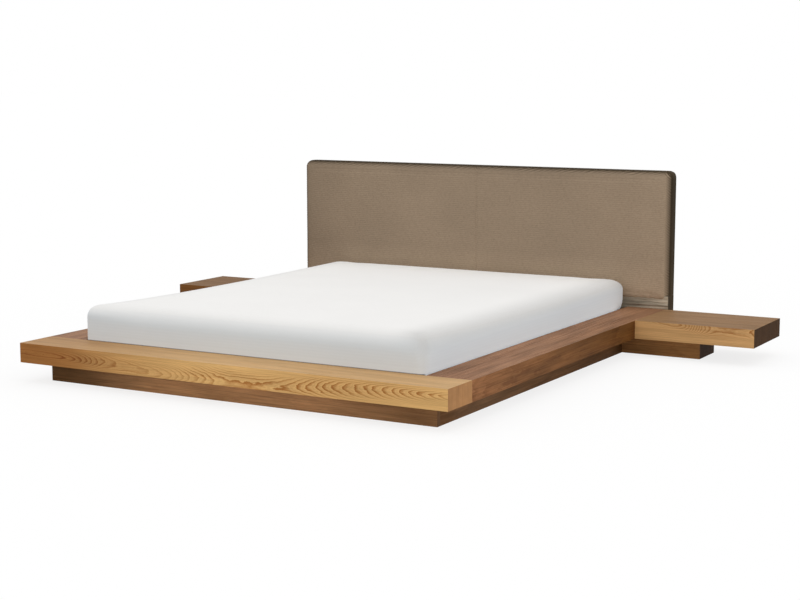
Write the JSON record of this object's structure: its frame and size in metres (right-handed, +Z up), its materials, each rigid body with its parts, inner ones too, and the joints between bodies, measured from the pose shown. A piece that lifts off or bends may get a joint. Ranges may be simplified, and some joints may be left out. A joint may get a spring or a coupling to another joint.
{
  "type": "platform bed",
  "caption": "Low platform bed with wide veneered rails on a recessed plinth, sprung slat deck, loose mattress, padded headboard and nightstands flush with the side rails",
  "frame": {"origin": "on the floor under the middle of the whole bed, nightstands and headboard included", "axes": "+X to the right for someone standing at the foot, +Y towards the headboard, +Z up"},
  "size_m": [3.1, 2.285, 0.806],
  "materials": {
    "oak_veneer": "satin",
    "walnut_veneer": "satin",
    "softwood": "matte",
    "plywood": "matte",
    "upholstery_fabric": "matte",
    "foam": "matte",
    "dust_cloth": "matte",
    "mattress_knit": "matte",
    "beech_laminate": "satin",
    "holder_plastic": "matte",
    "zinc_steel": "satin",
    "foot_plastic": "matte"
  },
  "bodies": {
    "bed": {"bracket_bolts": "zinc_steel", "centre_beam": "softwood", "centre_legs": "softwood", "centre_slat_holders": "holder_plastic", "corner_brackets": "zinc_steel", "foot_beam_hanger": "zinc_steel", "foot_rail": "oak_veneer", "foot_rail_end_caps": "oak_veneer", "front_plinth": "walnut_veneer", "head_beam_hanger": "zinc_steel", "head_rail": "softwood", "headboard_battens": "softwood", "headboard_bolts": "zinc_steel", "headboard_cover": "upholstery_fabric", "headboard_foam": "foam", "headboard_lining": "dust_cloth", "headboard_panel": "plywood", "left_headboard_leg": "softwood", "left_nightstand": "oak_veneer", "left_nightstand_base": "walnut_veneer", "left_side_plinth": "walnut_veneer", "left_side_rail": "walnut_veneer", "left_slat_holders": "holder_plastic", "left_slat_ledger": "softwood", "nightstand_bearers": "softwood", "plinth_corner_blocks": "softwood", "rail_end_blocks": "softwood", "rail_tenons": "softwood", "rear_plinth": "walnut_veneer", "right_headboard_leg": "softwood", "right_nightstand": "oak_veneer", "right_nightstand_base": "walnut_veneer", "right_side_plinth": "walnut_veneer", "right_side_rail": "walnut_veneer", "right_slat_holders": "holder_plastic", "right_slat_ledger": "softwood", "slat_pair_01": "beech_laminate", "slat_pair_02": "beech_laminate", "slat_pair_03": "beech_laminate", "slat_pair_04": "beech_laminate", "slat_pair_05": "beech_laminate", "slat_pair_06": "beech_laminate", "slat_pair_07": "beech_laminate", "slat_pair_08": "beech_laminate", "slat_pair_09": "beech_laminate", "slat_pair_10": "beech_laminate", "slat_pair_11": "beech_laminate", "slat_pair_12": "beech_laminate", "slat_pair_13": "beech_laminate", "slat_pair_14": "beech_laminate"},
    "mattress": {"mattress_cover": "mattress_knit", "mattress_core": "foam"},
    "levelling_foot_1": {"levelling_foot_1": "foot_plastic"},
    "levelling_foot_2": {"levelling_foot_2": "foot_plastic"},
    "levelling_foot_3": {"levelling_foot_3": "foot_plastic"}
  },
  "joints": [
    {"name": "mattress_lift", "type": "slide", "parent": "bed", "child": "mattress", "axis": [0, 0, 1], "range_m": [0, 0.4]},
    {"name": "foot_1_level", "type": "slide", "parent": "bed", "child": "levelling_foot_1", "axis": [0, 0, 1], "range_m": [-0.006, 0.006]},
    {"name": "foot_2_level", "type": "slide", "parent": "bed", "child": "levelling_foot_2", "axis": [0, 0, 1], "range_m": [-0.006, 0.006]},
    {"name": "foot_3_level", "type": "slide", "parent": "bed", "child": "levelling_foot_3", "axis": [0, 0, 1], "range_m": [-0.006, 0.006]}
  ]
}
